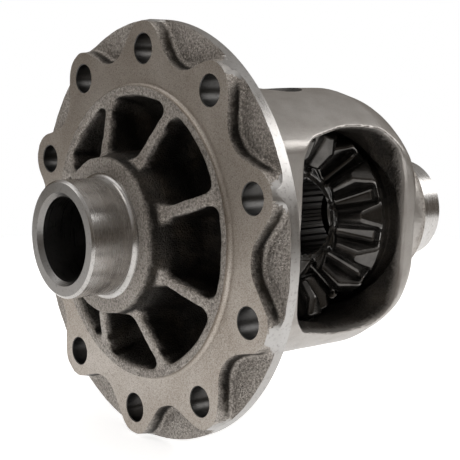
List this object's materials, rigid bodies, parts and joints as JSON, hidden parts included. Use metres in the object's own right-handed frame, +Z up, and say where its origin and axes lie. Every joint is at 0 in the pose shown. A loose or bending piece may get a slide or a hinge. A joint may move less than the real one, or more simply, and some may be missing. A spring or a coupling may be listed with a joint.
{
  "type": "open differential",
  "caption": "Open automotive differential: flanged case with ribbed hub, side windows and journals, holding meshed bevel side gears and pinions on a cross pin.",
  "frame": {"origin": "where the cross pin's axis crosses the carrier axis, midway between the two side gears", "axes": "+X along the carrier axis from the flange and its long journal towards the bell end, +Z up the cross pin, -Y and +Y out of the two windows"},
  "size_m": [0.1905, 0.167, 0.167],
  "materials": {
    "case": "ductile iron casting, oiled, turned bright on journals, rim and bolt pads",
    "cross_pin": "ground steel",
    "lock_bolt": "black oxide",
    "side_gear": "forged steel, dark, oiled",
    "pinion": "forged steel, dark, oiled",
    "washer": "plain hardened steel"
  },
  "bodies": {
    "carrier": {"differential_case": "case", "cross_pin": "cross_pin", "cross_pin_lock_bolt": "lock_bolt", "side_gear_washer_left": "washer", "side_gear_washer_right": "washer", "pinion_washer_upper": "washer", "pinion_washer_lower": "washer"},
    "right_side_gear": {"side_gear_right": "side_gear"},
    "left_side_gear": {"side_gear_left": "side_gear"},
    "upper_pinion": {"pinion_gear_upper": "pinion"},
    "lower_pinion": {"pinion_gear_lower": "pinion"}
  },
  "joints": [
    {"name": "right_side_gear_spin", "type": "hinge", "parent": "carrier", "child": "right_side_gear", "pos_m": [0, 0, 0], "axis": [1, 0, 0], "continuous": true},
    {"name": "left_side_gear_spin", "type": "hinge", "parent": "carrier", "child": "left_side_gear", "pos_m": [0, 0, 0], "axis": [1, 0, 0], "continuous": true},
    {"name": "upper_pinion_spin", "type": "hinge", "parent": "carrier", "child": "upper_pinion", "pos_m": [0, 0, 0], "axis": [0, 0, 1], "continuous": true},
    {"name": "lower_pinion_spin", "type": "hinge", "parent": "carrier", "child": "lower_pinion", "pos_m": [0, 0, 0], "axis": [0, 0, 1], "continuous": true}
  ],
  "couplings": [
    {"joint": "left_side_gear_spin", "follows": "right_side_gear_spin", "ratio": -1},
    {"joint": "upper_pinion_spin", "follows": "right_side_gear_spin", "ratio": -1.5},
    {"joint": "lower_pinion_spin", "follows": "right_side_gear_spin", "ratio": 1.5}
  ]
}
